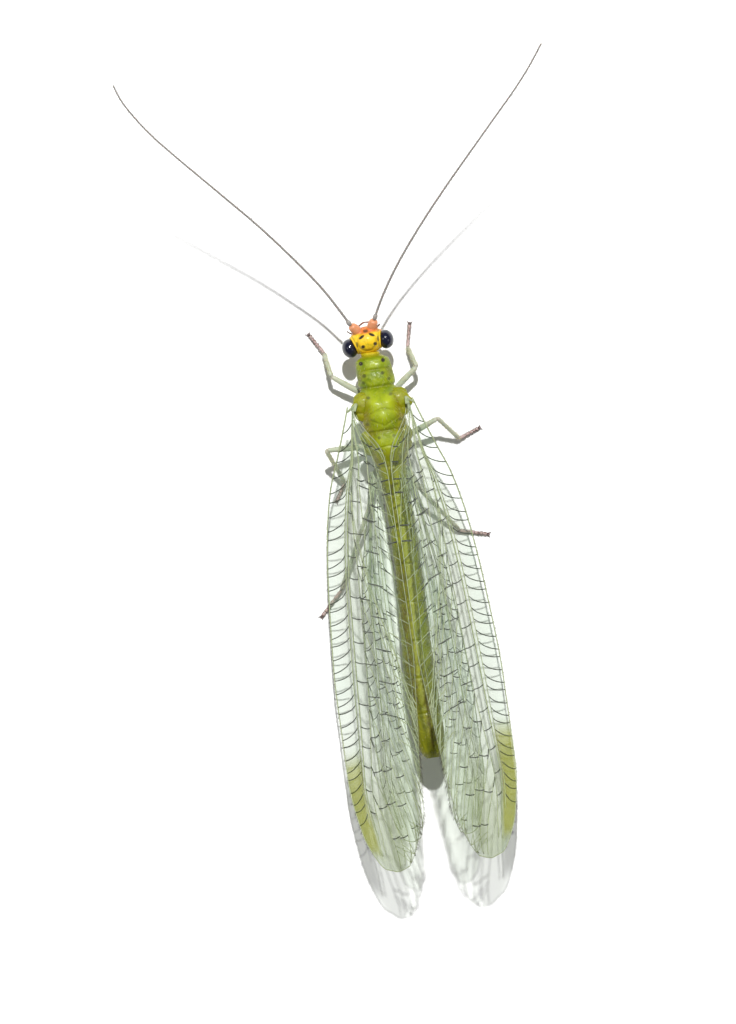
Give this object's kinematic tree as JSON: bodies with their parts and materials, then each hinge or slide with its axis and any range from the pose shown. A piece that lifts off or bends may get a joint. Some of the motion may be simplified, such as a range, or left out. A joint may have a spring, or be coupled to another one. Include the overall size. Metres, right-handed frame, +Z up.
{
  "type": "green lacewing",
  "caption": "Life-size still model of a green lacewing at rest: roofed clear wings with dark cross veins, yellow head, long forward feelers, standing on six feet.",
  "frame": {"origin": "middle of the bounding box at the level of the feet", "axes": "+Y along the body toward the head and feelers, +X to the insect's right, +Z up from the floor"},
  "size_m": [0.0146, 0.0276, 0.0075],
  "materials": {
    "body_green": "satin",
    "body_olive": "satin",
    "head_yellow": "satin",
    "eye_dark": "gloss",
    "scape_orange": "satin",
    "feeler_grey": "matte",
    "leg_pale": "satin",
    "foot_brown": "matte",
    "wing_membrane": "satin"
  },
  "bodies": {
    "root": {"prothorax": "body_green", "mesothorax": "body_green", "metathorax": "body_green", "abdomen_1": "body_olive", "abdomen_2": "body_olive", "abdomen_3": "body_olive", "abdomen_4": "body_olive", "abdomen_5": "body_olive", "abdomen_6": "body_olive", "abdomen_7": "body_olive", "abdomen_8": "body_olive", "head": "head_yellow", "eye_left": "eye_dark", "eye_right": "eye_dark", "scape_left": "scape_orange", "scape_right": "scape_orange", "mouth": "scape_orange", "feeler_left": "feeler_grey", "feeler_right": "feeler_grey", "fore_left_femur": "leg_pale", "fore_left_tibia": "leg_pale", "fore_left_foot": "foot_brown", "fore_right_femur": "leg_pale", "fore_right_tibia": "leg_pale", "fore_right_foot": "foot_brown", "mid_left_femur": "leg_pale", "mid_left_tibia": "leg_pale", "mid_left_foot": "foot_brown", "mid_right_femur": "leg_pale", "mid_right_tibia": "leg_pale", "mid_right_foot": "foot_brown", "hind_left_femur": "leg_pale", "hind_left_tibia": "leg_pale", "hind_left_foot": "foot_brown", "hind_right_femur": "leg_pale", "hind_right_tibia": "leg_pale", "hind_right_foot": "foot_brown", "forewing_left": "wing_membrane", "forewing_right": "wing_membrane", "hindwing_left": "wing_membrane", "hindwing_right": "wing_membrane"}
  },
  "joints": []
}
